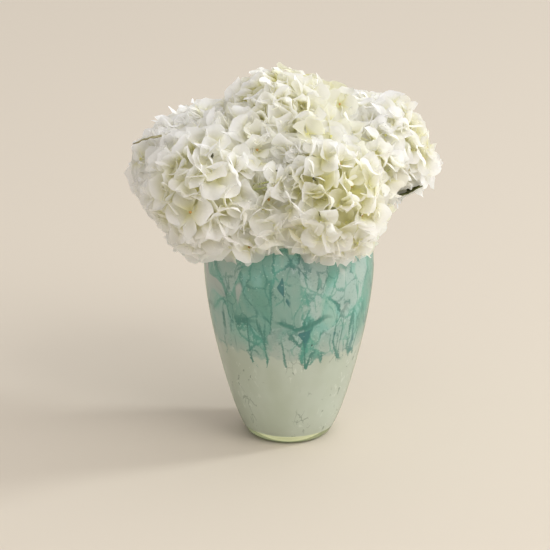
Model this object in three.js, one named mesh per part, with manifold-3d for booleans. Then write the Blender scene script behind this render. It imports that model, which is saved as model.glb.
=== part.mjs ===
// White mophead hydrangeas in a blown-glass vase.
// Millimetres, +Z up, the front faces -Y. The origin is the centre of the
// vase's underside. Six cut stems cross inside the vase and fan out over its
// rim, each with one round flower head and a leaf or two below it.

import * as THREE from 'three';
import { ConvexGeometry } from 'three/addons/geometries/ConvexGeometry.js';
import { mergeVertices } from 'three/addons/utils/BufferGeometryUtils.js';
import Module from 'manifold-3d';

const wasm = await Module();
wasm.setup();

const UP = new THREE.Vector3(0, 0, 1);

// ---- driving dimensions ---------------------------------------------------

const CLEARANCE = 0.3;           // between two pieces that touch
const MERGE_DISTANCE = 1e-3;     // vertices nearer than this are one

const VASE_SEGMENTS = 48;
const WALL_STEPS = 12;           // along the wall's outline
const FOOT_RADIUS = 37;          // flat of the underside
const FOOT_THICKNESS = 14;       // solid glass under the hollow
const HEEL = [FOOT_RADIUS + 3.4, 1.2];  // rounding from the underside to the wall
const FLOOR_CORNER = 7;          // radius from the hollow's floor to its wall
const WALL_THICKNESS = 4.5;
const LIP_RADIUS = 61.3;         // middle of the rounded rim
const LIP_HEIGHT = 227.7;
const ARC_STEPS = 5;             // in the rim's half round
const WALL_OUTLINE = [           // outside of the wall, radius and height
  [43.5, 4.5], [49.5, 17], [56.8, 37], [68, 77], [78, 122],
  [83, 160], [83.8, 182], [80.2, 203], [71.5, 219], [LIP_RADIUS + 2.3, LIP_HEIGHT],
];

const STEM_RADIUS = 3.2;
const STEM_SIDES = 8;
const STEM_STEPS = 20;
const STEM_TWIST = THREE.MathUtils.degToRad(-150);  // foot to rim, round the axis
const STEM_FOOT_CIRCLE = 25;     // radius on which the cut ends stand
const STEM_RIM_CIRCLE = 48;      // radius at which the stems pass the rim
const STEM_RIM_HEIGHT = 229;
const MIDDLE_STEM_LEAN = 5;      // of the top head's stem, at the rim
const STEM_TOP_DROP = 0.3;       // stem top below its head's centre, in head radii

const FLORETS_PER_HEAD = 40;
const SEPALS_PER_FLORET = 4;
const SEPAL_REACH = 0.44;        // sepal tips from the floret's middle, in florets
const CREASE_REACH = 0.5;        // creases between sepals, likewise
const FLORET_RISE = 3.5;         // sepal tips above the mean surface
const FLORET_DIP = 5.0;          // creases below it
const FLORET_SPACING = 0.27;     // nearest two points of the relief, in florets
const HEAD_GAP = 0.4;            // between two heads that press together
const BEYOND = 400;              // a length past any head
const FAN_SPACE_HEIGHT = 32;     // hollow over the mouth, where the stems fan out

// Flower heads. Each is a slightly flattened ball that looks away from the
// middle of the mouth: radius across, and depth along its stem over that.
const HEADS = {
  front_left:  { centre: [-78, -45, 266], radius: 66, depth: 0.90 },
  front_right: { centre: [36, -52, 262],  radius: 64, depth: 0.86 },
  top:         { centre: [-10, 10, 320],  radius: 57, depth: 0.90 },
  right:       { centre: [89, 35, 283],   radius: 61, depth: 0.82 },
  back_left:   { centre: [-99, 50, 259],  radius: 58, depth: 0.94 },
  back:        { centre: [22, 86, 262],   radius: 61, depth: 0.92 },
};

const LEAF_THICKNESS = 1.2;
const LEAF_CLEARANCE = 0.45;     // measured through the blade, so a sloping half has less
const LEAF_LENGTH_STEPS = 12;
const LEAF_WIDTH_STEPS = 4;
const PETIOLE_SHARE = 0.2;       // of a leaf's length
const PETIOLE_WIDTH = 3.4;
const BLADE_SKEW = 0.8;          // under 1, the blade is widest below its middle
const BLADE_FULLNESS = 0.85;     // under 1, the blade's sides are fuller than a sine
const LEAF_TIP_WIDTH = 1.0;
const LEAF_FOLD = 0.16;          // rise of the two halves about the midrib, over width

// Leaves. stem: the one that carries it; at: where on the stem, 0 foot to 1
// top; tip: its far point; width of the blade; arch: rise of the middle over the
// straight line to the tip, below 0 where the leaf hangs.
const LEAVES = {
  right:      { stem: 'right',      at: 0.86, tip: [130, 8, 252],    width: 48, arch: -7 },
  right_back: { stem: 'right',      at: 0.88, tip: [100, 98, 236],   width: 46, arch: -9 },
  left:       { stem: 'front_left', at: 0.90, tip: [-153, 4, 289],   width: 40, arch: 4 },
  gap:        { stem: 'top',        at: 0.79, tip: [-25, -34, 276],  width: 34, arch: 6 },
  top_back:   { stem: 'top',        at: 0.81, tip: [-38, 62, 300],   width: 38, arch: 6 },
  back_right: { stem: 'back',       at: 0.89, tip: [62, 132, 216],   width: 50, arch: -10 },
  back_left:  { stem: 'back',       at: 0.90, tip: [-34, 134, 222],  width: 48, arch: -9 },
  left_back:  { stem: 'back_left',  at: 0.90, tip: [-128, 102, 216], width: 50, arch: -9 },
};

// ---- materials --------------------------------------------------------------

const glass = new THREE.MeshStandardMaterial({ color: '#9fbfae', roughness: 0.15, metalness: 0 });
const sepal = new THREE.MeshStandardMaterial({ color: '#f0eddf', roughness: 0.7, metalness: 0 });
const cane = new THREE.MeshStandardMaterial({ color: '#7f9350', roughness: 0.6, metalness: 0 });
const foliage = new THREE.MeshStandardMaterial({ color: '#3f5a2a', roughness: 0.55, metalness: 0 });

// ---- geometry to solid and back ---------------------------------------------

// A closed three.js geometry as a manifold solid.
function toSolid(geometry) {
  const bare = geometry.clone();
  bare.deleteAttribute('normal');
  bare.deleteAttribute('uv');
  const merged = mergeVertices(bare, MERGE_DISTANCE);
  const triangles = [];
  for (let i = 0; i < merged.index.count; i += 3) {
    const [a, b, c] = [0, 1, 2].map((k) => merged.index.getX(i + k));
    if (a !== b && b !== c && c !== a) triangles.push(a, b, c);
  }
  return new wasm.Manifold(new wasm.Mesh({
    numProp: 3,
    vertProperties: new Float32Array(merged.attributes.position.array),
    triVerts: new Uint32Array(triangles),
  }));
}

// The largest body of a solid, as a three.js geometry.
function toGeometry(solid) {
  const bodies = solid.decompose().sort((a, b) => b.volume() - a.volume());
  const mesh = bodies[0].getMesh();
  const geometry = new THREE.BufferGeometry();
  geometry.setAttribute('position', new THREE.BufferAttribute(mesh.vertProperties, 3));
  geometry.setIndex(new THREE.BufferAttribute(mesh.triVerts, 1));
  geometry.computeVertexNormals();
  return geometry;
}

// ---- vase ---------------------------------------------------------------------

const wallCurve = new THREE.SplineCurve(WALL_OUTLINE.map(([r, z]) => new THREE.Vector2(r, z)));

// The wall's outline moved square to itself: outwards where distance is positive.
function wallOffset(distance) {
  const points = [];
  for (let i = 0; i <= WALL_STEPS; i += 1) {
    const t = i / WALL_STEPS;
    const tangent = wallCurve.getTangent(t);
    const point = wallCurve.getPoint(t);
    points.push(new THREE.Vector2(point.x + tangent.y * distance, point.y - tangent.x * distance));
  }
  return points;
}

// The rounded rim, from its outer side over to its inner side.
function lipArc(radius) {
  const points = [];
  for (let i = 1; i < ARC_STEPS; i += 1) {
    const turn = (i / ARC_STEPS) * Math.PI;
    points.push(new THREE.Vector2(
      LIP_RADIUS + radius * Math.cos(turn),
      LIP_HEIGHT + radius * Math.sin(turn),
    ));
  }
  return points;
}

// The rounded corner at the bottom of the hollow, from its wall to its floor.
function floorCorner(wallRadius) {
  const points = [];
  for (let i = 1; i <= 3; i += 1) {
    const turn = (i / 3) * (Math.PI / 2);
    points.push(new THREE.Vector2(
      wallRadius - FLOOR_CORNER * (1 - Math.cos(turn)),
      FOOT_THICKNESS + FLOOR_CORNER * (1 - Math.sin(turn)),
    ));
  }
  return points;
}

function revolve(profile) {
  return new THREE.LatheGeometry(profile, VASE_SEGMENTS).rotateX(Math.PI / 2);
}

function vaseGeometry() {
  const inside = wallOffset(-WALL_THICKNESS)
    .filter((point) => point.y > FOOT_THICKNESS + FLOOR_CORNER);
  return revolve([
    new THREE.Vector2(0, 0),
    new THREE.Vector2(FOOT_RADIUS, 0),
    new THREE.Vector2(...HEEL),
    ...wallOffset(0),
    ...lipArc(WALL_THICKNESS / 2),
    ...inside.toReversed(),
    ...floorCorner(inside[0].x),
    new THREE.Vector2(0, FOOT_THICKNESS),
  ]);
}

// The vase filled to the brim, which leaves and heads keep out of.
function brimmedVase() {
  const rim = lipArc(WALL_THICKNESS / 2 + CLEARANCE);
  const crown = rim.filter((point) => point.x > LIP_RADIUS - WALL_THICKNESS / 2);
  return toSolid(revolve([
    new THREE.Vector2(0, -CLEARANCE),
    new THREE.Vector2(FOOT_RADIUS, -CLEARANCE),
    ...wallOffset(CLEARANCE),
    ...crown,
    new THREE.Vector2(0, crown.at(-1).y),
  ]));
}

// The space over the mouth where the stems fan out, which heads keep out of.
function fanSpace() {
  const mouth = LIP_RADIUS - WALL_THICKNESS / 2;
  return toSolid(revolve([
    new THREE.Vector2(0, LIP_HEIGHT),
    new THREE.Vector2(mouth, LIP_HEIGHT),
    new THREE.Vector2(mouth * 0.6, LIP_HEIGHT + FAN_SPACE_HEIGHT * 0.75),
    new THREE.Vector2(0, LIP_HEIGHT + FAN_SPACE_HEIGHT),
  ]));
}

// ---- stems --------------------------------------------------------------------

const mouthCentre = new THREE.Vector3(0, 0, STEM_RIM_HEIGHT);

function headAxis(head) {
  return new THREE.Vector3(...head.centre).sub(mouthCentre).normalize();
}

function onCircle(radius, angle, height) {
  return new THREE.Vector3(radius * Math.cos(angle), radius * Math.sin(angle), height);
}

// A stem's middle line: straight from the vase's floor to the rim, then bent
// out into its head. The stem of the top head stands in the middle.
function stemCurve(name) {
  const head = HEADS[name];
  const centre = new THREE.Vector3(...head.centre);
  const axis = headAxis(head);
  const angle = Math.atan2(centre.y, centre.x);
  const inMiddle = name === 'top';
  const rim = onCircle(inMiddle ? MIDDLE_STEM_LEAN : STEM_RIM_CIRCLE, angle, STEM_RIM_HEIGHT);
  const foot = onCircle(inMiddle ? 0 : STEM_FOOT_CIRCLE, angle + STEM_TWIST, 0);
  const lean = new THREE.Vector3().subVectors(rim, foot).angleTo(UP);
  foot.z = FOOT_THICKNESS + CLEARANCE + (STEM_RADIUS + CLEARANCE) * Math.sin(lean);
  const top = centre.clone().addScaledVector(axis, -STEM_TOP_DROP * head.radius);
  return new THREE.CatmullRomCurve3([
    foot,
    foot.clone().lerp(rim, 0.3),
    foot.clone().lerp(rim, 0.6),
    foot.clone().lerp(rim, 0.85),
    rim,
    top,
  ]);
}

const stemCurves = Object.fromEntries(Object.keys(HEADS).map((name) => [name, stemCurve(name)]));

function stemGeometry(name, extra = 0) {
  const section = new THREE.Shape();
  for (let i = 0; i < STEM_SIDES; i += 1) {
    const turn = (i / STEM_SIDES) * 2 * Math.PI;
    const x = (STEM_RADIUS + extra) * Math.cos(turn);
    const y = (STEM_RADIUS + extra) * Math.sin(turn);
    if (i === 0) section.moveTo(x, y);
    else section.lineTo(x, y);
  }
  section.closePath();
  let path = stemCurves[name];
  if (extra > 0) {
    const ends = [path.getPoint(0), path.getPoint(1)];
    ends[0].addScaledVector(path.getTangent(0), -extra);
    ends[1].addScaledVector(path.getTangent(1), extra);
    path = new THREE.CatmullRomCurve3([ends[0], ...path.points.slice(1, -1), ends[1]]);
  }
  return new THREE.ExtrudeGeometry(section, { extrudePath: path, steps: STEM_STEPS });
}

// ---- leaves ---------------------------------------------------------------------

// Half-width of a leaf along its length, 0 at the stem to 1 at the tip: a thin
// petiole, then an egg-shaped blade.
function leafHalfWidth(along, width) {
  const blade = THREE.MathUtils.clamp((along - PETIOLE_SHARE) / (1 - PETIOLE_SHARE), 0, 1);
  const shape = Math.sin(Math.PI * blade ** BLADE_SKEW) ** BLADE_FULLNESS;
  const least = along < PETIOLE_SHARE ? PETIOLE_WIDTH : LEAF_TIP_WIDTH;
  return Math.max(least, width * shape) / 2;
}

function leafGeometry(name, extra = 0) {
  const leaf = LEAVES[name];
  const root = stemCurves[leaf.stem].getPoint(leaf.at);
  const tip = new THREE.Vector3(...leaf.tip);
  const length = root.distanceTo(tip) + extra;
  const forward = new THREE.Vector3().subVectors(tip, root).normalize();
  const side = new THREE.Vector3().crossVectors(UP, forward).normalize();
  const over = new THREE.Vector3().crossVectors(forward, side);
  const geometry = new THREE.BoxGeometry(1, 1, 1, LEAF_LENGTH_STEPS, LEAF_WIDTH_STEPS, 1);
  const position = geometry.attributes.position;
  const thickness = LEAF_THICKNESS + 2 * extra;
  for (let i = 0; i < position.count; i += 1) {
    const along = position.getX(i) + 0.5;
    const across = position.getY(i) * 2;
    const halfWidth = leafHalfWidth(along, leaf.width) + extra;
    const rise = LEAF_FOLD * halfWidth * Math.abs(across) + leaf.arch * 4 * along * (1 - along);
    const point = root.clone()
      .addScaledVector(forward, along * length)
      .addScaledVector(side, across * halfWidth)
      .addScaledVector(over, rise + position.getZ(i) * thickness);
    position.setXYZ(i, point.x, point.y, point.z);
  }
  return geometry;
}

// ---- flower heads -----------------------------------------------------------------

// Directions on a ball for one head's relief, each with its rise: every floret
// has a middle, four sepals that stand up and four creases between them.
function floretRelief(seed) {
  const golden = Math.PI * (3 - Math.sqrt(5));
  const reach = Math.sqrt((4 * Math.PI) / FLORETS_PER_HEAD);  // floret pitch, in radii
  const relief = [];
  const add = (direction, rise) => {
    const near = relief.some((other) => other.direction.distanceTo(direction) < reach * FLORET_SPACING);
    if (!near) relief.push({ direction, rise });
  };
  for (let i = 0; i < FLORETS_PER_HEAD; i += 1) {
    const z = 1 - (2 * i + 1) / FLORETS_PER_HEAD;
    const middle = onCircle(Math.sqrt(1 - z * z), golden * i + seed, z);
    const side = new THREE.Vector3().crossVectors(middle, UP).normalize();
    const other = new THREE.Vector3().crossVectors(middle, side);
    add(middle, 0);
    for (let k = 0; k < 2 * SEPALS_PER_FLORET; k += 1) {
      const isSepal = k % 2 === 0;
      const turn = (k / SEPALS_PER_FLORET) * Math.PI + i * golden;
      const out = (isSepal ? SEPAL_REACH : CREASE_REACH) * reach;
      const direction = middle.clone()
        .addScaledVector(side, out * Math.cos(turn))
        .addScaledVector(other, out * Math.sin(turn))
        .normalize();
      add(direction, isSepal ? FLORET_RISE : -FLORET_DIP);
    }
  }
  return relief;
}

// One whole head before its neighbours press on it.
function headBall(head, seed) {
  const relief = floretRelief(seed);
  const geometry = new ConvexGeometry(relief.map(({ direction }) => direction));
  const position = geometry.attributes.position;
  const vertex = new THREE.Vector3();
  for (let i = 0; i < position.count; i += 1) {
    vertex.fromBufferAttribute(position, i);
    const nearest = relief.reduce((best, point) => (
      point.direction.distanceTo(vertex) < best.direction.distanceTo(vertex) ? point : best));
    vertex.setLength(head.radius + nearest.rise);
    vertex.z *= head.depth;
    position.setXYZ(i, vertex.x, vertex.y, vertex.z);
  }
  geometry.applyQuaternion(new THREE.Quaternion().setFromUnitVectors(UP, headAxis(head)));
  geometry.translate(...head.centre);
  return toSolid(geometry);
}

// Distance from a head's centre to its surface in a direction.
function reachOf(head, direction) {
  const along = headAxis(head).dot(direction);
  const across2 = 1 - along * along;
  return head.radius / Math.sqrt(across2 + (along / head.depth) ** 2);
}

// All that lies past the face where a neighbour presses on a head.
function beyondContact(head, neighbour) {
  const start = new THREE.Vector3(...head.centre);
  const towards = new THREE.Vector3(...neighbour.centre).sub(start);
  const apart = towards.length();
  towards.normalize();
  const own = reachOf(head, towards);
  const other = reachOf(neighbour, towards);
  if (apart > own + other) return null;
  const face = (apart * apart + own * own - other * other) / (2 * apart) - HEAD_GAP / 2;
  const block = new THREE.BoxGeometry(BEYOND, BEYOND, BEYOND);
  block.applyQuaternion(new THREE.Quaternion().setFromUnitVectors(UP, towards));
  const middle = start.addScaledVector(towards, face + BEYOND / 2);
  block.translate(middle.x, middle.y, middle.z);
  return toSolid(block);
}

// ---- assembly -----------------------------------------------------------------------

const bouquet = new THREE.Group();

function addPiece(name, geometry, material) {
  const mesh = new THREE.Mesh(geometry, material);
  mesh.name = name;
  bouquet.add(mesh);
}

addPiece('vase', vaseGeometry(), glass);

const keepOut = [brimmedVase()];
for (const name of Object.keys(HEADS)) {
  addPiece(`stem_${name}`, toGeometry(toSolid(stemGeometry(name))), cane);
  keepOut.push(toSolid(stemGeometry(name, CLEARANCE)));
}

for (const name of Object.keys(LEAVES)) {
  const blade = keepOut.reduce((left, piece) => left.subtract(piece), toSolid(leafGeometry(name)));
  addPiece(`leaf_${name}`, toGeometry(blade), foliage);
  keepOut.push(toSolid(leafGeometry(name, LEAF_CLEARANCE)));
}
keepOut.push(fanSpace());

Object.entries(HEADS).forEach(([name, head], index) => {
  let ball = headBall(head, index);
  for (const neighbour of Object.values(HEADS)) {
    const past = neighbour === head ? null : beyondContact(head, neighbour);
    if (past) ball = ball.subtract(past);
  }
  ball = keepOut.reduce((left, piece) => left.subtract(piece), ball);
  addPiece(`head_${name}`, toGeometry(ball), sepal);
});

export default bouquet;
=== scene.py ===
from math import atan2, cos, hypot, pi, radians, sin, sqrt
from random import Random

import bpy
from mathutils import Matrix, Vector
from mathutils.geometry import interpolate_bezier


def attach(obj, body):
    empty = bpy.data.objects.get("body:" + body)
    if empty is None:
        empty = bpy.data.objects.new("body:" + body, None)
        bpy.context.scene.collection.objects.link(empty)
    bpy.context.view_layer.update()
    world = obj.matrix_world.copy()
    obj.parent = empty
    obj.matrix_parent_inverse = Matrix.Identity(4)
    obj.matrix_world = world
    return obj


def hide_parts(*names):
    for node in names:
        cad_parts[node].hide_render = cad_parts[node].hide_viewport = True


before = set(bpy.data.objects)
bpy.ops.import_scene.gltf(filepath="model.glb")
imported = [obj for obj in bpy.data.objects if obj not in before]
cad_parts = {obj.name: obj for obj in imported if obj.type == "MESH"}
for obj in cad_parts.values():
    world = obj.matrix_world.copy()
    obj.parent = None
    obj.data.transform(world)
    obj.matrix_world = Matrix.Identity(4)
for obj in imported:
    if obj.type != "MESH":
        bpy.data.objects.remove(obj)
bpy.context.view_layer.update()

MM = 0.001
UP = Vector((0, 0, 1))


# ---- Camera -----------------------------------------------------------------------
# A long lens three metres in front of the vase, a little left of its axis, and
# tipped down so that the top of the bouquet and the floor round the foot show.

CAMERA_DISTANCE = 2.943
CAMERA_PITCH = radians(20.5)
AIM = Vector((-0.0137, 0, 0.1628))  # what the middle of the view looks at

bpy.ops.object.camera_add(
    location=AIM + CAMERA_DISTANCE * Vector((0, -cos(CAMERA_PITCH), sin(CAMERA_PITCH))),
    rotation=(pi / 2 - CAMERA_PITCH, 0, 0),
)
camera = bpy.context.object
camera.data.lens = 196.36
camera.data.sensor_width = 36
bpy.context.scene.camera = camera


# ---- Vase -------------------------------------------------------------------------
# One piece of blown glass: a clear foot as thick as a finger, a wall that swells
# to a round shoulder, and a fire-rounded rim. Teal and white chips were rolled
# into the upper part and cased in clear glass. Below them it is frosted celadon.

FOOT_RADIUS = 37 * MM
FOOT_EDGE = 2 * MM               # a ring so close to the foot's edge keeps it crisp
FOOT_THICKNESS = 14 * MM
FLOOR_CORNER = 7 * MM
MIDDLE_DISC = 12 * MM            # radius of the discs that close the underside and the floor
WALL_THICKNESS = 4.5 * MM
LIP_CENTRE = (61.3 * MM, 227.7 * MM)
HEEL = (40.4 * MM, 1.2 * MM)
WALL_OUTLINE = [(r * MM, z * MM) for r, z in (
    (43.5, 4.5), (49.5, 17), (56.8, 37), (68, 77), (78, 122), (83, 160), (83.9, 182),
    (80.4, 203), (71.5, 219.2), (63.6, 227.7),
)]
CHIP_SCALE = 36                  # chips to a metre

# At which heights the glass changes.
CLEAR_FOOT = (8.5 * MM, 10.5 * MM)       # the clear foot ends between these
CHIPS_FROM = 100 * MM                    # the chips begin
CHIPS_CLOSE = (118 * MM, 150 * MM)       # the milk between them gives out
RUNS = (84 * MM, 152 * MM)               # teal ran down the wall between these
CHIP_ROWS_MEET = 143 * MM                # the upper row of chips overlaps the lower
SHOULDER = (130 * MM, 185 * MM)          # smears and blush patches set in


class Value:
    """A node's output, which Python's operators feed into Math nodes."""

    def __init__(self, finish, socket):
        self.finish, self.socket = finish, socket

    def math(self, operation, *terms):
        return self.finish.node("ShaderNodeMath", {"operation": operation}, terms)

    def __add__(self, other): return self.math("ADD", self, other)
    def __sub__(self, other): return self.math("SUBTRACT", self, other)
    def __rsub__(self, other): return self.math("SUBTRACT", other, self)
    def __mul__(self, other): return self.math("MULTIPLY", self, other)
    def __pow__(self, other): return self.math("POWER", self, other)
    def __abs__(self): return self.math("ABSOLUTE", self)
    __radd__, __rmul__ = __add__, __mul__


class Finish:
    """A material whose nodes are made one call at a time."""

    def __init__(self, name):
        self.material = bpy.data.materials.new(name)
        self.material.use_nodes = True
        self.tree = self.material.node_tree
        self.tree.nodes.clear()

    def node(self, kind, settings=None, inputs=(), output=0):
        """A new node of a kind, its settings first, then its sockets' values or links."""
        made = self.tree.nodes.new(kind)
        for key, value in (settings or {}).items():
            if key == "stops":
                stops = made.color_ramp.elements
                while len(stops) < len(value):
                    stops.new(1)
                for stop, (position, colour) in zip(stops, value):
                    stop.position, stop.color = position, colour
            else:
                setattr(made, key, value)
        for key, value in inputs.items() if isinstance(inputs, dict) else enumerate(inputs):
            if isinstance(value, Value):
                self.tree.links.new(value.socket, made.inputs[key])
            else:
                made.inputs[key].default_value = value
        return Value(self, made.outputs[output]) if len(made.outputs) else None

    def place(self, scale=(1, 1, 1)):
        """Where a point is on the object, drawn out by scale."""
        coordinate = self.node("ShaderNodeTexCoord", output="Object")
        return self.node("ShaderNodeMapping", None, {"Vector": coordinate, "Scale": scale})

    def part(self, vector, axis):
        """A vector's part along one axis: 0, 1 or 2."""
        return self.node("ShaderNodeSeparateXYZ", None, [vector], output=axis)

    def noise(self, vector, scale, detail, output=0):
        return self.node("ShaderNodeTexNoise", None,
                         {"Vector": vector, "Scale": scale, "Detail": detail}, output)

    def step(self, value, low, high):
        """0 below low, 1 above high, smooth between."""
        return self.node("ShaderNodeMapRange", {"interpolation_type": "SMOOTHSTEP"},
                         {"Value": value, "From Min": low, "From Max": high})

    def blend(self, factor, first, second):
        return self.node("ShaderNodeMix", {"data_type": "RGBA"},
                         {0: factor, 6: first, 7: second}, output=2)

    def bump(self, height, strength, distance):
        return self.node("ShaderNodeBump", None,
                         {"Height": height, "Strength": strength, "Distance": distance})

    def surface(self, shader):
        self.node("ShaderNodeOutputMaterial", None, {"Surface": shader})
        return self.material


def srgb(red, green, blue):
    """A screen colour, 0 to 255, as the linear colour that shaders take."""
    def linear(part):
        part /= 255
        return part / 12.92 if part <= 0.04045 else ((part + 0.055) / 1.055) ** 2.4
    return linear(red), linear(green), linear(blue), 1


def select_only(*things):
    bpy.ops.object.select_all(action="DESELECT")
    for thing in things:
        thing.select_set(True)
    bpy.context.view_layer.objects.active = things[0]


def apply_modifiers(piece):
    select_only(piece)
    for modifier in list(piece.modifiers):
        bpy.ops.object.modifier_apply(modifier=modifier.name)


def draw_up(outline):
    """Extrudes the selected disc, of the outline's first radius, through the rest."""
    radius, height = outline[0]
    for next_radius, next_height in outline[1:]:
        bpy.ops.mesh.extrude_region_move(
            TRANSFORM_OT_translate={"value": (0, 0, next_height - height)})
        scale = next_radius / radius
        bpy.ops.transform.resize(value=(scale, scale, 1), center_override=(0, 0, next_height))
        radius, height = next_radius, next_height


def arc(centre, radius, turns):
    """Points round a centre, at turns in degrees."""
    return [(centre[0] + radius * cos(radians(turn)), centre[1] + radius * sin(radians(turn)))
            for turn in turns]


# The outline runs out along the underside, up the wall, over the lip and down inside.
# The wall leans, most of all low down, so it is a little thicker when cut level.
inner_wall = [(r - WALL_THICKNESS * 1.02, z) for r, z in WALL_OUTLINE[2:-1]]
hollow = WALL_OUTLINE[1][0] - WALL_THICKNESS * 1.1
vase_outline = [
    (MIDDLE_DISC, 0), (FOOT_RADIUS - FOOT_EDGE, 0), (FOOT_RADIUS, 0), HEEL, *WALL_OUTLINE,
    *arc(LIP_CENTRE, WALL_THICKNESS / 2, (35, 90, 145)),
    (LIP_CENTRE[0] - WALL_THICKNESS / 2, LIP_CENTRE[1] - 1 * MM),
    *inner_wall[::-1],
    (hollow + 1.5 * MM, FOOT_THICKNESS + FLOOR_CORNER + 2 * MM),
    *arc((hollow - FLOOR_CORNER, FOOT_THICKNESS + FLOOR_CORNER), FLOOR_CORNER, (-20, -55, -88)),
    (MIDDLE_DISC, FOOT_THICKNESS),
]
bpy.ops.object.select_all(action="DESELECT")
bpy.ops.mesh.primitive_circle_add(vertices=64, radius=MIDDLE_DISC, fill_type="NGON",
                                  location=(0, 0, 0))
vase = bpy.context.object
vase.name = "glass_vase"
bpy.ops.object.mode_set(mode="EDIT")
bpy.ops.mesh.select_all(action="SELECT")
draw_up(vase_outline)
bpy.ops.mesh.select_all(action="SELECT")
bpy.ops.mesh.remove_doubles(threshold=1e-6)
bpy.ops.mesh.normals_make_consistent(inside=False)
bpy.ops.object.mode_set(mode="OBJECT")
smooth = vase.modifiers.new("smooth", "SUBSURF")
smooth.levels = smooth.render_levels = 2
apply_modifiers(vase)
bpy.ops.object.shade_smooth()


def marbled_glass():
    glass = Finish("marbled glass")
    height = glass.part(glass.place(), 2)
    drawn = glass.place((1, 1, 0.6))    # everything in the wall was drawn out upwards

    def warp(vector, scale, reach):
        push = glass.noise(vector, scale, 2, output=1)
        push = glass.node("ShaderNodeVectorMath", {"operation": "MULTIPLY_ADD"},
                          [push, (2 * reach,) * 3, (-reach,) * 3])
        return glass.node("ShaderNodeVectorMath", {"operation": "ADD"}, [vector, push])

    flowing = warp(drawn, 26, 13 * MM)
    grainy = warp(flowing, 170, 2.2 * MM)
    grain = glass.noise(glass.place(), 620, 2)

    def chips(vector, scale, output):
        return glass.node("ShaderNodeTexVoronoi", None, {"Vector": vector, "Scale": scale}, output)

    def veins(vector, scale, width):
        """Lines of loose grains between chips of glass."""
        edge = glass.node("ShaderNodeTexVoronoi", {"feature": "DISTANCE_TO_EDGE"},
                          {"Vector": vector, "Scale": scale}, "Distance")
        return 1 - glass.step(edge + (grain - 0.5) * width * 2.2, width * 0.4, width)

    def band(value, low, high, soft):
        """1 between low and high, fading to 0 over soft at either end."""
        return glass.step(value, low, low + soft) * (1 - glass.step(value, high - soft, high))

    # Chips of sage, aqua and pale beige green that melted into each other.
    chip = glass.node("ShaderNodeTexVoronoi", {"feature": "SMOOTH_F1"},
                      {"Vector": grainy, "Scale": CHIP_SCALE, "Smoothness": 0.35}, "Color")
    colour = glass.node("ShaderNodeValToRGB", {"stops": [
        (0.30, srgb(82, 160, 138)), (0.42, srgb(112, 182, 164)), (0.50, srgb(134, 200, 188)),
        (0.58, srgb(168, 208, 192)), (0.70, srgb(122, 196, 182)),
    ]}, [glass.noise(flowing, 30, 4)])
    window = glass.step(glass.part(chip, 0), 0.50, 0.66)
    colour = glass.blend(window * 0.60, colour, srgb(206, 213, 209))
    colour = glass.blend(glass.step(glass.part(chip, 1), 0.72, 0.82) * 0.6, colour,
                         srgb(100, 164, 144))
    colour = glass.blend(glass.noise(grainy, 140, 4) * 0.3, colour, srgb(196, 206, 190))
    # Lower down, the chips thin out and the milk shows between them.
    thinning = 1 - glass.step(height + 40 * MM * glass.noise(drawn, 40, 3), *CHIPS_CLOSE)
    colour = glass.blend(thinning * 0.75, colour, srgb(202, 205, 192))

    # Teal veins round the chips, thick and thin by turns, and broken in places.
    teal = glass.blend(glass.step(glass.noise(grainy, 60, 3), 0.36, 0.62),
                       srgb(20, 118, 108), srgb(72, 172, 150))
    patchy = glass.noise(grainy, 40, 3)
    thin = veins(grainy, CHIP_SCALE, 0.038) * glass.step(patchy, 0.42, 0.50)
    broad = veins(flowing, CHIP_SCALE, 0.12) * glass.step(glass.noise(drawn, 22, 2), 0.51, 0.63)
    fine = veins(grainy, 78, 0.07) * glass.step(glass.noise(grainy, 36, 3), 0.43, 0.51)
    dots = veins(flowing, CHIP_SCALE, 0.26)
    dots = dots * glass.step(glass.noise(glass.place(), 420, 1), 0.60, 0.66)
    runs = veins(warp(glass.place((1, 1, 0.14)), 60, 5 * MM), 62, 0.06)
    runs = runs * band(height, *RUNS, 12 * MM) * glass.step(patchy, 0.42, 0.50)
    marble = glass.blend(broad * 0.6, colour, teal)
    marble = glass.blend(fine * 0.6 + dots * 0.3, marble, teal)
    marble = glass.blend(thin * 0.8, marble, teal)
    marble = glass.blend(runs * 0.85, marble, srgb(44, 128, 116))
    # The two rows of chips overlap in a dark, wandering line.
    off_line = abs(height - CHIP_ROWS_MEET + (glass.noise(flowing, 18, 2) - 0.5) * 50 * MM
                   + (grain - 0.5) * 3 * MM)
    line = 1 - glass.step(off_line, 0.8 * MM, 3.2 * MM)
    marble = glass.blend(line * glass.step(glass.noise(drawn, 16, 1), 0.46, 0.54) * 0.85,
                         marble, srgb(40, 126, 112))
    shard = glass.step(glass.part(chips(flowing, 90, "Color"), 2), 0.93, 0.94)
    marble = glass.blend(shard * glass.step(patchy, 0.50, 0.56) * 0.9, marble, srgb(24, 112, 118))

    # White smears and blush patches towards the shoulder, dark specks all over.
    ribbon = glass.noise(flowing, 26, 1)
    smear = 1 - glass.step(abs(ribbon - 0.5), 0.006, 0.035)
    smear = smear * glass.step(glass.noise(drawn, 19, 1), 0.57, 0.62)
    shoulder = glass.step(height, *SHOULDER)
    marble = glass.blend(smear * shoulder * 0.6, marble, srgb(226, 234, 226))
    marble = glass.blend(glass.step(ribbon, 0.655, 0.675) * shoulder * 0.9, marble,
                         srgb(218, 212, 208))
    speck = 1 - glass.step(chips(grainy, 52, "Distance"), 0.025, 0.045)
    marble = glass.blend(speck, marble, srgb(38, 62, 56))
    # Seeds, the little bubbles in the casing, are painted as pale specks in swarms: painted glints
    # where they catch the light.
    seed = 1 - glass.step(chips(glass.place(), 230, "Distance"), 0.10, 0.20)
    seed = seed * glass.step(glass.noise(grainy, 34, 2), 0.48, 0.60)
    marble = glass.blend(seed * 0.6, marble, srgb(222, 232, 220))

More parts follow.
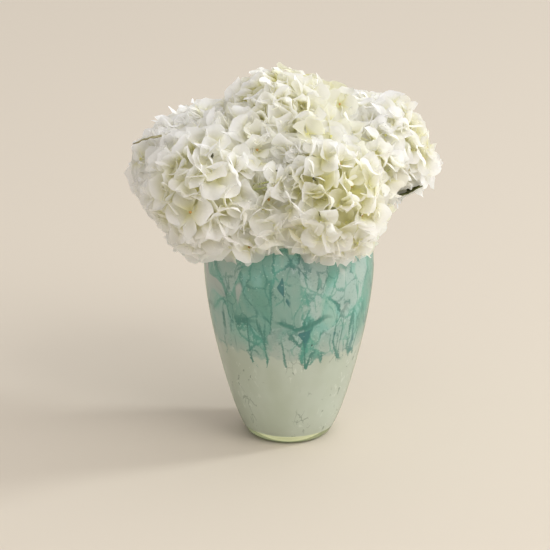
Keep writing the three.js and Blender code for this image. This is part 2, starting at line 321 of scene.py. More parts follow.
    # The milky part: soft cloud, white flecks and a few grey marks.
    milk = glass.blend(glass.step(glass.noise(drawn, 24, 3), 0.38, 0.66),
                       srgb(202, 208, 190), srgb(216, 222, 208))
    chipped = glass.step(glass.noise(drawn, 30, 1), 0.54, 0.62)
    for low, scale, tint in ((0.62, 200, srgb(236, 240, 228)), (0.66, 150, srgb(98, 112, 92))):
        fleck = glass.step(glass.noise(grainy, scale, 2), low, low + 0.03)
        milk = glass.blend(fleck * chipped * 0.75, milk, tint)
    marks = veins(grainy, 110, 0.05) * glass.step(glass.noise(drawn, 46, 1), 0.60, 0.65)
    milk = glass.blend(marks * 0.6, milk, srgb(100, 112, 92))

    # The chips end in a ragged edge that reaches lowest along the runs and veins.
    ragged = height + 22 * MM * glass.noise(glass.place((1, 1, 0.5)), 44, 4)
    ragged = ragged + 12 * MM * glass.noise(glass.place((1, 1, 0.35)), 150, 3)
    ragged = ragged + 8 * MM * runs + 5 * MM * thin
    above = glass.step(ragged, CHIPS_FROM + 17 * MM, CHIPS_FROM + 21 * MM)
    body = glass.blend(above, milk, marble)
    # The clear foot is olive, with a painted bright lens of gathered light across the front and
    # back, in its colour and in a painted glow.
    foot = 1 - glass.step(height, *CLEAR_FOOT)
    sideways = glass.part(glass.place(), 0)
    painted_lens = glass.step(height - 6.2 * sideways * sideways, 2.5 * MM, 4.0 * MM)
    body = glass.blend(foot, body, glass.blend(painted_lens, srgb(160, 164, 106), srgb(252, 252, 214)))
    # Painted glow: the whole wall glows faintly, the milk more than the chips, and the foot's
    # painted lens glows bright.
    painted_glow = glass.blend(foot * painted_lens, glass.blend(above, srgb(58, 60, 50), srgb(26, 44, 40)),
                           srgb(164, 166, 120))

    cased = glass.node("ShaderNodeBsdfPrincipled", None, {
        "Base Color": body, "Roughness": 0.28, "IOR": 1.5, "Coat Weight": 1.0,
        "Coat Roughness": 0.03, "Emission Color": painted_glow, "Emission Strength": 1.0,
        "Normal": glass.bump(glass.noise(drawn, 26, 2), 0.12, 1.0 * MM)})
    glow = glass.node("ShaderNodeBsdfTranslucent", None, {"Color": srgb(206, 222, 210)})
    milky = glass.node("ShaderNodeMixShader", None, [0.36, cased, glow])
    # The clear casing shows alone in the foot and where the wall is seen edge on.
    clear = glass.node("ShaderNodeBsdfGlass", None, {
        "Color": srgb(240, 246, 222), "Roughness": 0.02, "IOR": 1.5})
    rim_light = glass.node("ShaderNodeLayerWeight", None, {"Blend": 0.5}, "Facing")
    casing = glass.step(rim_light, 0.80, 0.98) * 0.6
    casing = casing + (1 - casing) * foot * 0.35
    return glass.surface(glass.node("ShaderNodeMixShader", None, [casing, milky, clear]))


vase.data.materials.append(marbled_glass())
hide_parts("vase")
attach(vase, "root")


# ---- Stems ------------------------------------------------------------------------
# Six woody canes, cut square. Each stands on the vase's floor, leans on the rim
# and bends out into its head. A ring swells at every pair of leaf scars.

STEM_RADIUS = 3.2 * MM
STEM_CLEARANCE = 0.3 * MM        # between its cut end and the vase's floor
STEM_FOOT_CIRCLE = 25 * MM
STEM_TWIST = radians(-150)       # foot to rim, round the axis
STEM_RIM_CIRCLE = 48 * MM
MIDDLE_STEM_LEAN = 5 * MM
STEM_TOP_DROP = 0.3              # stem top below its head's centre, in head radii
STEM_STEPS = 20                  # to each of the five stretches of its middle line
MOUTH = Vector((0, 0, 229 * MM))
LEAF_SCARS = (0.22, 0.48, 0.70)  # along a stem
SCAR_RING = 0.011                # half the length of the ring there, along a stem
SCAR_SWELLING = 1.22

# Heads: centre, radius and flattening along the axis that points away from the mouth.
HEADS = {name: (Vector(centre) * MM, radius * MM, depth) for name, centre, radius, depth in (
    ("front_left", (-78, -45, 266), 66, 0.90),
    ("front_right", (36, -52, 262), 64, 0.86),
    ("top", (-10, 10, 320), 57, 0.90),
    ("right", (89, 35, 283), 61, 0.82),
    ("back_left", (-99, 50, 259), 58, 0.94),
    ("back", (22, 86, 262), 61, 0.92),
)}


def circle_point(radius, turn, height):
    return Vector((radius * cos(turn), radius * sin(turn), height))


def smooth_line(points, steps):
    """Points along a smooth curve through the given ones, steps to a stretch."""
    line = [points[0]]
    ends = [2 * points[0] - points[1], *points, 2 * points[-1] - points[-2]]
    for a, b, c, d in zip(ends, ends[1:], ends[2:], ends[3:]):
        ab, bc, cd = (sqrt((q - p).length) for p, q in ((a, b), (b, c), (c, d)))
        leave = ((b - a) / ab - (c - a) / (ab + bc) + (c - b) / bc) * bc
        reach = ((c - b) / bc - (d - b) / (bc + cd) + (d - c) / cd) * bc
        line += interpolate_bezier(b, b + leave / 3, c - reach / 3, c, steps + 1)[1:]
    return line


def stem_line(name):
    """The middle line of a head's stem, from foot to top."""
    centre, radius, _ = HEADS[name]
    turn = atan2(centre.y, centre.x)
    middle = name == "top"
    rim = circle_point(MIDDLE_STEM_LEAN if middle else STEM_RIM_CIRCLE, turn, MOUTH.z)
    foot = circle_point(0 if middle else STEM_FOOT_CIRCLE, turn + STEM_TWIST,
                        FOOT_THICKNESS + STEM_CLEARANCE)
    # The more a stem leans, the lower the edge of its square-cut end would dip.
    foot.z += 1.1 * STEM_RADIUS * sin((rim - foot).angle(UP))
    top = centre - (centre - MOUTH).normalized() * STEM_TOP_DROP * radius
    between = [foot.lerp(rim, share) for share in (0.3, 0.6, 0.85)]
    return smooth_line([foot, *between, rim, top], STEM_STEPS)


def tubes(name, runs, roundness):
    """One mesh of tubes, each along a run of (point, radius), square at roundness 0."""
    bpy.ops.object.select_all(action="DESELECT")
    bpy.ops.curve.primitive_nurbs_path_add(location=(0, 0, 0))
    piece = bpy.context.object
    piece.name = name
    data = piece.data
    data.splines.clear()
    data.bevel_depth = 1
    data.bevel_resolution = roundness
    data.use_fill_caps = True
    for run in runs:
        spline = data.splines.new("POLY")
        spline.points.add(len(run) - 1)
        for point, (place, radius) in zip(spline.points, run):
            point.co, point.radius = (*place, 1), radius
    bpy.ops.object.convert(target="MESH")
    bpy.ops.object.shade_smooth()
    return bpy.context.object


def woody_cane():
    wood = Finish("woody cane")
    along = wood.place((1, 1, 0.12))
    streak = wood.noise(along, 900, 3)
    bark = wood.blend(streak, srgb(104, 118, 62), srgb(138, 148, 88))
    brown = wood.step(wood.noise(wood.place(), 60, 3), 0.5, 0.68)
    bark = wood.blend(brown * 0.6, bark, srgb(120, 96, 62))
    pores = wood.step(wood.noise(wood.place((1, 1, 0.45)), 700, 1), 0.68, 0.74)
    bark = wood.blend(pores * 0.7, bark, srgb(86, 66, 44))
    return wood.surface(wood.node("ShaderNodeBsdfPrincipled", None, {
        "Base Color": bark, "Roughness": 0.6,
        "Normal": wood.bump(streak + pores, 0.5, 0.25 * MM)}))


bark = woody_cane()
stem_lines = {name: stem_line(name) for name in HEADS}
for name, line in stem_lines.items():
    run = []
    for step in range(0, len(line), 2):
        nearest = min(abs(step / (len(line) - 1) - scar) for scar in LEAF_SCARS)
        run.append((line[step], STEM_RADIUS * (SCAR_SWELLING if nearest < SCAR_RING else 1)))
    stem = tubes(f"cane_{name}", [run], roundness=2)
    stem.data.materials.append(bark)
    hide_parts(f"stem_{name}")
    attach(stem, "root")


# ---- Leaves -----------------------------------------------------------------------
# Eight egg-shaped leaves with toothed edges, glossy and dark but for one that has
# dried, folded a little about the midrib. Each grows from a cane under its head.

LEAF_THICKNESS = 0.6 * MM
PETIOLE_SHARE = 0.2              # of a leaf's length
PETIOLE_RADIUS = 1.6 * MM
LEAF_FOLD = 0.16                 # rise of the two halves about the midrib, over half-width
LEAF_TEETH = 15                  # down each edge
TOOTH_DEPTH = 0.05               # of the half-width
TOOTH_SLANT = 1.6 * MM           # of its point, towards the stem
EDGE_WAVE = 0.9 * MM
DRIED_LEAF = "left"

# Leaves: the stem that carries it, how far along in per cent, tip, width, arch.
LEAVES = {
    "right": ("right", 86, (130, 8, 252), 48, -7),
    "right_back": ("right", 88, (100, 98, 236), 46, -9),
    "left": ("front_left", 90, (-151, 2, 297), 24, 27),
    "gap": ("top", 79, (-25, -34, 276), 34, 6),
    "top_back": ("top", 81, (-38, 62, 300), 38, 6),
    "back_right": ("back", 89, (62, 132, 216), 50, -10),
    "back_left": ("back", 90, (-34, 134, 222), 48, -9),
    "left_back": ("back_left", 90, (-128, 102, 216), 50, -9),
}


def leaf_finish(name, dark, light):
    leaf = Finish(name)
    across = leaf.part(leaf.node("ShaderNodeTexCoord", output="UV"), 0)
    along = leaf.part(leaf.node("ShaderNodeTexCoord", output="UV"), 1)
    off_midrib = abs(across - 0.5)
    midrib = 1 - leaf.step(off_midrib, 0.008, 0.03)
    # Side veins leave the midrib in pairs and curve towards the tip.
    comb = leaf.node("ShaderNodeMath", {"operation": "PINGPONG"},
                     [along * 8 - off_midrib * 3.4 + off_midrib * off_midrib * 2, 0.5])
    side_vein = (1 - leaf.step(comb, 0.0, 0.09)) * (1 - leaf.step(off_midrib, 0.36, 0.5))
    vein = midrib + side_vein * 0.7
    mottle = leaf.noise(leaf.place(), 90, 4)
    green = leaf.blend(leaf.step(mottle, 0.35, 0.7), dark, light)
    green = leaf.blend(vein * 0.6, green, srgb(122, 132, 74))
    green = leaf.blend(leaf.step(off_midrib, 0.44, 0.5) * 0.4, green, srgb(104, 96, 50))
    blister = comb * 0.8 + leaf.noise(leaf.place(), 320, 2) * 0.4
    return leaf.surface(leaf.node("ShaderNodeBsdfPrincipled", None, {
        "Base Color": green, "Roughness": 0.48, "Specular IOR Level": 0.35,
        "Normal": leaf.bump(blister - vein * 0.5, 0.6, 1.0 * MM)}))


glossy = leaf_finish("glossy leaf", srgb(56, 60, 26), srgb(84, 88, 42))
dry = leaf_finish("dry leaf", srgb(146, 138, 92), srgb(176, 166, 122))
for name, (stem_name, at, tip, width, arch) in LEAVES.items():
    root, tip = stem_lines[stem_name][at], Vector(tip) * MM
    forward = (tip - root).normalized()
    side = UP.cross(forward).normalized()
    over = forward.cross(side)
    length = (tip - root).length

    def leaf_point(share, across, half_width):
        # The arch is full halfway along, or two thirds along the dried leaf, which hooks over.
        bend = 6.75 * share ** 2 if name == DRIED_LEAF else 4 * share
        rise = LEAF_FOLD * half_width * abs(across) + arch * MM * bend * (1 - share)
        return root + forward * share * length + side * across * half_width + over * rise

    bpy.ops.object.select_all(action="DESELECT")
    rows = 2 * LEAF_TEETH
    bpy.ops.mesh.primitive_grid_add(x_subdivisions=8, y_subdivisions=rows, size=2,
                                    location=(0, 0, 0))
    blade = bpy.context.object
    for vertex in blade.data.vertices:
        # The square grid is drawn out to an egg shape, widest below its middle.
        across, share = vertex.co.x, (vertex.co.y + 1) / 2
        half_width = max(0.6, width * sin(pi * min(share, 0.9999) ** 0.8) ** 0.85) / 2 * MM
        tooth = (round(share * rows) % 2) * abs(across) ** 4
        half_width *= 0.98 + TOOTH_DEPTH * tooth
        wave = EDGE_WAVE * across ** 2 * sin(share * 14 + (2 if across > 0 else 0))
        place = leaf_point(PETIOLE_SHARE + (1 - PETIOLE_SHARE) * share, across, half_width)
        vertex.co = place + over * wave - forward * TOOTH_SLANT * tooth
    thicken = blade.modifiers.new("thickness", "SOLIDIFY")
    thicken.thickness, thicken.offset = LEAF_THICKNESS, 0
    apply_modifiers(blade)
    bpy.ops.object.shade_smooth()
    petiole = tubes("petiole", [[
        (leaf_point(share, 0, 0), PETIOLE_RADIUS * (1.25 - 1.1 * share))
        for share in (0.0, 0.06, 0.12, 0.18, 0.26, 0.34)]], roundness=1)
    select_only(blade, petiole)
    bpy.ops.object.join()
    blade.name = f"blade_{name}"
    blade.data.materials.clear()
    blade.data.materials.append(dry if name == DRIED_LEAF else glossy)
    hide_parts(f"leaf_{name}")
    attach(blade, "root")


# ---- Flower heads -----------------------------------------------------------------
# A mophead is a ball of florets on thin stalks. A floret has four broad, papery
# sepals with wavy edges round a bud like a bead. They open flat, cupped or
# nearly shut, overlap each other, and are greener deep in the ball, partly as
# the inner florets are and partly as painted shade in the crevices.

FLORET_SHAPES = 12
SEPAL_LENGTH = 20.5 * MM
SEPAL_LIFT = 0.5 * MM            # of one pair of sepals over the other
CLAW_OFFSET = 0.7 * MM           # of a sepal's narrow end from the floret's middle
BUD_RADIUS = 1.5 * MM
BUD_HEIGHT = 1.4 * MM
BRANCHES = 14                    # on a whole ball, of which the upper two thirds are used
BRANCH_REACH = 0.34              # in head radii
BRANCH_RADII = (1.5 * MM, 1.3 * MM, 1.0 * MM)    # from the stem outwards
STALK_RADII = (0.9 * MM, 0.7 * MM, 0.6 * MM)     # of a floret's own stalk
# The green deep in a ball is partly painted shade in the crevices.
GREEN_FROM = 0.14                # how deep in a ball the green begins, in head radii
CORE = 0.80                      # the share of a ball that its neighbours' florets keep out of

# The florets of a ball, in two layers: how many on a whole ball, how far out in
# radii, how young, and how low on a ball of radius 1.
LAYERS = ((150, 1.04, 0.0, -0.80), (48, 0.80, 0.7, -0.45))

# The florets in the seam between two balls: how far it is filled beyond a share of
# the balls' radii, how far apart they are, and how deep and how young each row is.
SEAM_BALL = 0.95
SEAM_REACH = 24 * MM
SEAM_SPACING = 17 * MM
SEAM_ROWS = ((6 * MM, 0.15), (21 * MM, 0.6))

# Florets keep off the glass, and out of the space over the mouth where the stems fan out.
FAN_SPACE_HEIGHT = 32 * MM
WALL_GAP = 1 * MM
RIM_GAP = 2 * MM
HANGS_FROM = 50 * MM             # off the axis: further out a floret hangs over the wall
NEAR_THE_RIM = 25 * MM           # over the mouth: lower florets may touch the glass

# How much greener some heads are than the rest, or whiter if below 0, and how much
# broader the florets of the oldest ones have grown.
YOUNGER = {"front_left": -0.10, "back_left": -0.10, "front_right": 0.17, "top": 0.30,
           "right": -0.10}
BROADER = {"front_left": 1.12, "back_left": 1.14}

# Where a head bulges out of its ball, or is flatter: towards where, and by how
# much of its radius.
SWELLS = {
    "right": (((0.93, -0.2, -0.30), 0.14), ((0.75, 0.0, 0.66), -0.12),
              ((0.63, -0.46, -0.63), -0.42)),
    "back_left": (((0.30, 0.0, 0.95), 0.10), ((-0.43, -0.58, 0.68), 0.14),
                  ((-0.80, 0.1, 0.60), -0.08), ((-1.0, -0.2, 0.1), 0.06)),
    "front_left": (((-0.75, -0.3, -0.60), -0.05),),
}

# Where a few florets on longer stalks stand out of a ball.
LOOSE = {
    "back_left": ((-92, 46, 322), (-82, 40, 328), (-70, 38, 326), (-62, 30, 320), (-76, 44, 318),
                  (-104, 6, 318), (-114, 4, 314)),
    "front_left": ((-121, -10, 311), (-108, -12, 316), (-124, -16, 314)),
    "right": ((105, 25, 345), (113, 30, 336), (128, 24, 316), (121, 12, 323)),
}

# A stalk that lost its floret has dried, with a dead bud near its end: the radii in
# mm along it, and where the tips of such stalks stand between the florets.
BARE_STALK_RADII = ((0, 0.9), (0.8, 0.9), (0.92, 1.5), (1, 0.5))
BARE_STALKS = {
    "front_left": ((-72, -78, 314),),
    "front_right": ((-13, -78, 297), (-17, -85, 277), (22, -103, 298)),
    "top": ((-25, -45, 316), (11, 55, 348)),
    "right": ((109, 88, 297),),
    "back_left": ((-125, 99, 276),),
    "back": ((6, 144, 274), (57, 133, 279)),
}

# The lowest florets of the heads that lean on the rim hang over the wall: from
# and to which bearing about the vase, and the rows' heights and distances off it.
HEMS = {"front_left": (-143, -99), "front_right": (-83, -26), "back": (46, 108)}
HEM_ROWS = ((212 * MM, 21 * MM), (228 * MM, 31 * MM))
HEM_SPACING = 18 * MM


def sepal(chance, pitch, turn, lift):
    """One sepal, its claw at the origin and its tip towards turn, raised by pitch."""
    bpy.ops.mesh.primitive_grid_add(x_subdivisions=4, y_subdivisions=4, size=2,
                                    location=(0, 0, 0))
    piece = bpy.context.object
    length = SEPAL_LENGTH * chance.uniform(0.84, 1.14)
    half_width = length * chance.uniform(0.42, 0.58)
    point = chance.choice((0.03, 0.04, 0.12))
    cup, fold, curl = chance.uniform(0.05, 0.5), chance.random(), chance.uniform(-0.35, 0.30)
    waves, phase = chance.choice((2, 3, 3, 4)), chance.uniform(0, 2 * pi)
    ruffle = chance.uniform(1.0, 2.6) * MM
    for vertex in piece.data.vertices:
        # The square grid is drawn out to a disc and the disc to an egg shape.
        u, v = vertex.co.x, vertex.co.y
        across, along = u * sqrt(1 - v * v / 2), v * sqrt(1 - u * u / 2)
        edge, bearing = min(1, hypot(across, along)), atan2(along, across)
        share = (along + 1) / 2
        across *= min(1, 0.34 + 1.5 * share) * (1.06 - 0.2 * share ** 3)
        rise = cup * half_width * (fold * abs(across) + (1 - fold) * across ** 2)
        rise += curl * length * share ** 2 + ruffle * edge ** 3 * sin(waves * bearing + phase)
        vertex.co = (across * half_width, (share + point * (share > 0.99)) * length, rise)
    piece.data.transform(
        Matrix.Rotation(turn, 4, "Z") @ Matrix.Translation((0, CLAW_OFFSET, lift))
        @ Matrix.Rotation(pitch, 4, "X") @ Matrix.Rotation(chance.uniform(-0.36, 0.36), 4, "Y"))
    return piece


def floret(number):
    chance = Random(100 + number)
    openness = chance.uniform(0.05, 1.0)
    parts = []
    for quarter in range(4):
        pitch = openness * 0.95 + chance.uniform(-0.45, 0.45)
        turn = quarter * pi / 2 + chance.uniform(-0.22, 0.22)
        parts.append(sepal(chance, pitch, turn, (quarter % 2) * SEPAL_LIFT))
    bpy.ops.mesh.primitive_uv_sphere_add(segments=5, ring_count=3, radius=BUD_RADIUS,
                                         location=(0, 0, BUD_HEIGHT))
    parts.append(bpy.context.object)
    for part, material in zip(parts, [paper] * 4 + [bud]):
        part.data.materials.append(material)
    select_only(*parts)
    bpy.ops.object.join()
    bpy.ops.object.transform_apply()
    bpy.ops.object.shade_smooth()
    shape = bpy.context.object
    shape.name = f"floret_{number}"
    return shape


def papery_sepals():
    papery = Finish("papery sepals")
    across = papery.part(papery.node("ShaderNodeTexCoord", output="UV"), 0)
    along = papery.part(papery.node("ShaderNodeTexCoord", output="UV"), 1)
    young = papery.node("ShaderNodeAttribute", {"attribute_name": "young"}, output="Fac")
    tone = papery.node("ShaderNodeAttribute", {"attribute_name": "tone"}, output="Fac")
    cloud = papery.noise(papery.place(), 120, 3)
    white = papery.blend(tone * 0.7 + cloud * 0.3, srgb(254, 253, 255), srgb(252, 251, 251))
    rim = papery.node("ShaderNodeMath", {"operation": "MINIMUM"},
                      [0.5 - abs(across - 0.5), 0.5 - abs(along - 0.5)])
    # Green at the claw and all over where the floret is young or deep in its head; the green deep
    # in the head is partly painted shade.
    claw = (1 - along) ** 3 * (0.7 + young * 0.8)
    green = papery.node("ShaderNodeMath", {"operation": "MAXIMUM"}, [claw, young * 0.7])
    white = papery.blend(green, white, srgb(203, 197, 56))
    # Fine ribs run along it, and its edge is pale.
    ribs = papery.node("ShaderNodeMath", {"operation": "PINGPONG"},
                       [across * 9 + papery.noise(papery.place(), 160, 2) * 1.2, 0.5])
    rib = 1 - papery.step(ribs, 0.0, 0.16)
    white = papery.blend(rib * 0.10, white, srgb(222, 220, 190))
    white = papery.blend((1 - papery.step(rim, 0.0, 0.09)) * 0.7, white, srgb(255, 255, 252))
    sheet = papery.node("ShaderNodeBsdfPrincipled", None, {
        "Base Color": white, "Roughness": 0.55, "Specular IOR Level": 0.35,
        "Emission Color": srgb(252, 248, 226), "Emission Strength": 0.06,
        "Normal": papery.bump(rib * 0.3 + papery.noise(papery.place(), 170, 3), 0.5, 2.2 * MM)})
    # Light passes from sepal to sepal; the faint emission is a painted glow that lifts the shade,
    # standing in for the light such a ball keeps.
    glow = papery.node("ShaderNodeMixShader", None, [
        green * 0.7,
        papery.node("ShaderNodeBsdfTranslucent", None, {"Color": srgb(254, 254, 253)}),
        papery.node("ShaderNodeBsdfTranslucent", None, {"Color": srgb(239, 235, 152)})])
    return papery.surface(papery.node("ShaderNodeMixShader", None, [0.70, sheet, glow]))


def green_bud():
    bead = Finish("floret bud")
    mottle = bead.noise(bead.place(), 700, 2)
    tone = bead.node("ShaderNodeAttribute", {"attribute_name": "tone"}, output="Fac")
    colour = bead.blend(mottle, srgb(206, 206, 120), srgb(232, 228, 160))
    colour = bead.blend(bead.step(tone, 0.70, 0.80), colour, srgb(196, 152, 84))
    return bead.surface(bead.node("ShaderNodeBsdfPrincipled", None, {
        "Base Color": colour, "Roughness": 0.45,
        "Normal": bead.bump(mottle, 0.4, 0.3 * MM)}))


def vase_edge(height):
    """The vase's outer radius at a height."""
    for (r0, z0), (r1, z1) in zip(WALL_OUTLINE, WALL_OUTLINE[1:]):
        if z0 <= height <= z1:
            return r0 + (r1 - r0) * (height - z0) / (z1 - z0)
    return 0


def inside_core(point, name):
    """Whether a point is in the part of a head that only its own florets fill."""
    centre, radius, depth = HEADS[name]
    axis = (centre - MOUTH).normalized()
    away = point - centre
    along = away.dot(axis)
    return hypot(along / depth, (away - axis * along).length) < radius * CORE


def in_the_way(point):
    """Whether a floret there would fill the vase or the stems' space over its mouth."""
    away, height = hypot(point.x, point.y), point.z
    lip_radius, lip_height = LIP_CENTRE
    if height < lip_height + 5 * MM:
        return away < vase_edge(height) + 3 * MM
    # The space over the mouth is level in the middle and slopes down to the lip.
    return height < lip_height + FAN_SPACE_HEIGHT * min(1, 1.9 * (1 - away / lip_radius))


def ball_directions(count, chance):
    """Directions spread evenly over a ball, in a spiral from its top down."""
    golden = pi * (3 - sqrt(5))
    start = chance.uniform(0, 2 * pi)
    for i in range(count):
        z = 1 - (2 * i + 1) / count
        r = sqrt(1 - z * z)
        yield Vector((r * cos(start + golden * i), r * sin(start + golden * i), z))


def scatter(chance, reach):
    """A small step in any direction."""
    return Vector([chance.uniform(-reach, reach) for _ in range(3)])


def plant(shape, place, turned, size, young, chance, centre, radius):
    """A copy of a floret there, turned and sized. It is greener deep in its head, partly as inner
    florets are and partly as painted shade in the crevices.
    """
    copy = bpy.data.objects.new("floret", shape.data.copy())
    bpy.context.collection.objects.link(copy)
    copy.matrix_world = (Matrix.Translation(place) @ turned.to_4x4() @ Matrix.Scale(size, 4))
    young, tone = max(0, young + chance.uniform(-0.60, 0.18)), chance.random()
    greenness = []
    for vertex in copy.data.vertices:
        depth = 1 - (copy.matrix_world @ vertex.co - centre).length / radius
        greenness.append(min(1, young + (3.5 + 8 * young) * max(0, depth - GREEN_FROM)))
    for name, values in (("young", greenness), ("tone", [tone] * len(greenness))):
        copy.data.attributes.new(name, "FLOAT", "POINT").data.foreach_set("value", values)
    return copy


def ball_seats(name, chance):
    """Where the florets of a head's own ball reach out to, which way, and their youth."""
    centre, radius, depth = HEADS[name]
    to_world = (centre - MOUTH).to_track_quat("Z", "Y").to_matrix()
    for count, seat, young, lowest in LAYERS:
        for direction in ball_directions(count, chance):
            direction = (direction + scatter(chance, 0.10)).normalized()
            reach = radius * (seat + chance.uniform(-0.09, 0.03))
            out = to_world @ Vector((direction.x, direction.y, direction.z / depth)).normalized()
            for towards, amount in SWELLS.get(name, ()):
                reach += radius * amount * max(0, out.dot(Vector(towards).normalized())) ** 10
            tip = centre + to_world @ Vector(
                (direction.x * reach, direction.y * reach, direction.z * reach * depth))
            if direction.z > lowest:
                yield tip, out, young


def seam_seats(name, chance):
    """The same for florets that stand up in the seams between this head and later ones."""
    names = list(HEADS)
    centre, radius = HEADS[name][0], HEADS[name][1] * SEAM_BALL + SEAM_REACH
    for other in names[names.index(name) + 1:]:
        away = HEADS[other][0] - centre
        other_radius = HEADS[other][1] * SEAM_BALL + SEAM_REACH
        gap = away.length
        along = (gap ** 2 + radius ** 2 - other_radius ** 2) / (2 * gap)
        if along >= radius:
            continue
        across = away.to_track_quat("Z", "Y").to_matrix()
        for sink, young in SEAM_ROWS:
            ring = sqrt(radius ** 2 - along ** 2) - sink
            count = int(2 * pi * ring / SEAM_SPACING)
            for i in range(count):
                turn = 2 * pi * (i + chance.uniform(-0.3, 0.3)) / count
                out = across @ Vector((cos(turn), sin(turn), chance.uniform(-0.35, 0.35)))
                out.normalize()
                middle = centre + away * (along / gap + chance.uniform(-0.06, 0.06))
                yield middle + out * ring * chance.uniform(0.9, 1.0), out, young


def hem_seats(name, chance):
    """The same for the florets that hang over the vase's wall."""
    first, last = HEMS.get(name, (0, 0))
    for height, off in HEM_ROWS:
        reach = vase_edge(min(height, WALL_OUTLINE[-2][1])) + off
        count = int(radians(last - first) * reach / HEM_SPACING)
        for i in range(count):
            turn = radians(first + (last - first) * (i + chance.uniform(0.2, 0.8)) / count)
            out = Vector((cos(turn), sin(turn), chance.uniform(-0.5, 0.0))).normalized()
            yield circle_point(reach, turn, height + chance.uniform(-3, 3) * MM), out, 0.0


def loose_seats(name, chance):
    """The same for the florets on longer stalks."""
    for tip in LOOSE.get(name, ()):
        tip = Vector(tip) * MM
        yield tip, (tip - HEADS[name][0] + scatter(chance, 0.01)).normalized(), 0.0


def clear_the_glass(floret):
    """Moves a whole floret off the wall, or up off the rim."""
    for _ in range(4):
        outwards = upwards = 0
        for vertex in floret.data.vertices:
            spot = floret.matrix_world @ vertex.co
            away = hypot(spot.x, spot.y)
            if away > HANGS_FROM:
                outwards = max(outwards, vase_edge(spot.z) + WALL_GAP - away)
            else:
                upwards = max(upwards, MOUTH.z + RIM_GAP - spot.z)
        if max(outwards, upwards) <= 0:
            break
        place = floret.matrix_world.translation
        outwards = 0 if upwards > 0 else outwards
        away = hypot(place.x, place.y)
        floret.matrix_world.translation = (place.x * (1 + outwards / away),
                                           place.y * (1 + outwards / away), place.z + upwards)


def stalk_finish(name, mottling, dark, light, roughness):
    stalk = Finish(name)
    colour = stalk.blend(stalk.noise(stalk.place(), mottling, 2), dark, light)
    return stalk.surface(stalk.node("ShaderNodeBsdfPrincipled", None, {
        "Base Color": colour, "Roughness": roughness}))


paper, bud = papery_sepals(), green_bud()
shapes = [floret(number) for number in range(FLORET_SHAPES)]
green_stalk = stalk_finish("floret stalk", 90, srgb(172, 184, 108), srgb(206, 210, 146), 0.55)
dried_stalk = stalk_finish("dried stalk", 300, srgb(48, 54, 36), srgb(84, 80, 50), 0.6)

for seed, (name, (centre, radius, _)) in enumerate(HEADS.items()):
    chance = Random(7 + seed)
    axis = (centre - MOUTH).normalized()
    others = [other for other in HEADS if other != name]
    to_world = axis.to_track_quat("Z", "Y").to_matrix()
    branches = [centre + to_world @ (direction * radius * BRANCH_REACH)
                for direction in ball_directions(BRANCHES, chance) if direction.z > -0.35]
    stem_top = stem_lines[name][-1]
    stalks = [list(zip((stem_top, stem_top.lerp(end, 0.5) + axis * 2 * MM, end), BRANCH_RADII))
              for end in branches]
    florets = []
    seats = (*ball_seats(name, chance), *seam_seats(name, chance), *hem_seats(name, chance),
             *loose_seats(name, chance))
    for tip, out, young in seats:
        # The floret looks its own way, and its furthest sepal ends where the seat is.
        shape, size = chance.choice(shapes), chance.uniform(0.82, 1.12) * (1 - 0.2 * young)
        size *= BROADER.get(name, 1)
        facing = (out + scatter(chance, 0.6)).normalized()
        turned = (facing.to_track_quat("Z", "Y").to_matrix()
                  @ Matrix.Rotation(chance.uniform(0, 2 * pi), 3, "Z"))
        reach = size * max((turned @ vertex.co).dot(out) for vertex in shape.data.vertices)
        place = tip - out * reach
        if in_the_way(place) or any(inside_core(place, other) for other in others):
            continue
        florets.append(plant(shape, place, turned, size, young + YOUNGER.get(name, 0), chance,
                             centre, radius))
        if place.z < MOUTH.z + NEAR_THE_RIM:
            clear_the_glass(florets[-1])
            place = florets[-1].matrix_world.translation.copy()
        # Its stalk leaves the nearest branch, bends and meets it from behind.
        start = min(branches, key=lambda end: (end - place).length)
        bend = start.lerp(place - facing * 6 * MM, 0.6) + axis * 1.5 * MM
        stalks.append(list(zip((start, bend, place - facing * 0.5 * MM), STALK_RADII)))

    select_only(*florets)
    bpy.ops.object.join()
    head = bpy.context.object
    bpy.ops.object.transform_apply()
    head.name = f"florets_{name}"
    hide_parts(f"head_{name}")
    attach(head, "root")

    bare = []
    for tip in BARE_STALKS[name]:
        tip = Vector(tip) * MM
        start = min(branches, key=lambda end: (end - tip).length)
        bare.append([(start.lerp(tip, share), thickness * MM)
                     for share, thickness in BARE_STALK_RADII])
    dried = tubes("dried", bare, roundness=0)
    dried.data.materials.append(dried_stalk)
    rays = tubes("rays", stalks, roundness=0)
    rays.data.materials.append(green_stalk)
    select_only(dried, rays)
    bpy.ops.object.join()
    rays = bpy.context.object
    rays.name = f"rays_{name}"
    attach(rays, "root")

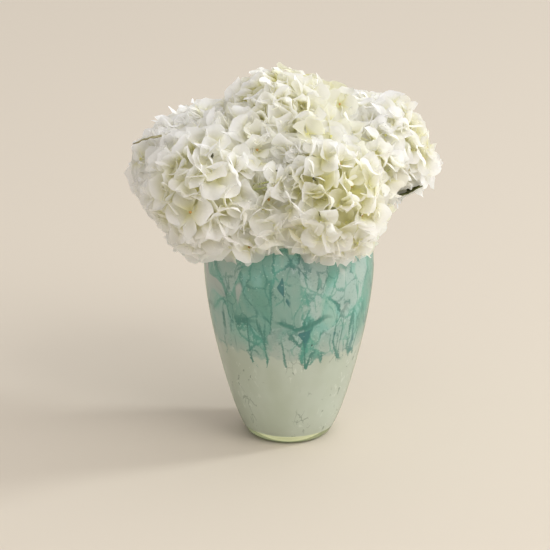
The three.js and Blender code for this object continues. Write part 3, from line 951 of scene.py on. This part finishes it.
for shape in shapes:
    bpy.data.objects.remove(shape)


# ---- Floor and light --------------------------------------------------------------
# A plain pale floor that runs on past the view. A round lamp stands at the right, a
# wide, weak one fills from the front, and the room's own light is soft.

KEY_BEARING = radians(10)
KEY_ELEVATION = radians(33)
KEY_DISTANCE = 5

bpy.ops.object.select_all(action="DESELECT")
bpy.ops.mesh.primitive_plane_add(size=12, location=(0, 0, 0))
floor = bpy.context.object
floor.name = "floor"
ground = Finish("pale floor")
floor.data.materials.append(ground.surface(ground.node("ShaderNodeBsdfPrincipled", None, {
    "Base Color": srgb(208, 198, 181), "Roughness": 0.8})))

key_from = circle_point(cos(KEY_ELEVATION), KEY_BEARING, sin(KEY_ELEVATION))
bpy.ops.object.light_add(type="AREA", location=AIM + KEY_DISTANCE * key_from)
key = bpy.context.object
key.data.shape = "DISK"
key.data.size = 0.88
key.data.energy = 93
key.data.color = (0.905, 0.96, 1.0)
key.rotation_euler = key_from.to_track_quat("Z", "Y").to_euler()

bpy.ops.object.light_add(type="AREA", location=(1.6, -1.6, 2.5))
fill = bpy.context.object
fill.data.size = 1.6
fill.data.energy = 33
fill.data.color = (1.0, 0.99, 0.975)
fill.rotation_euler = (fill.location - AIM).to_track_quat("Z", "Y").to_euler()

studio = bpy.data.worlds.new("studio")
bpy.context.scene.world = studio
studio.use_nodes = True
sky = studio.node_tree
# The room's light is stronger from the right.
direction = sky.nodes.new("ShaderNodeTexCoord")
sideways = sky.nodes.new("ShaderNodeSeparateXYZ")
strength = sky.nodes.new("ShaderNodeMapRange")
for name, value in (("From Min", -1), ("From Max", 1), ("To Min", 0.46), ("To Max", 1.46)):
    strength.inputs[name].default_value = value
sky.links.new(direction.outputs["Generated"], sideways.inputs[0])
sky.links.new(sideways.outputs[0], strength.inputs["Value"])
sky.links.new(strength.outputs[0], sky.nodes["Background"].inputs["Strength"])
sky.nodes["Background"].inputs["Color"].default_value = srgb(240, 237, 238)
bpy.context.scene.view_settings.view_transform = "Standard"
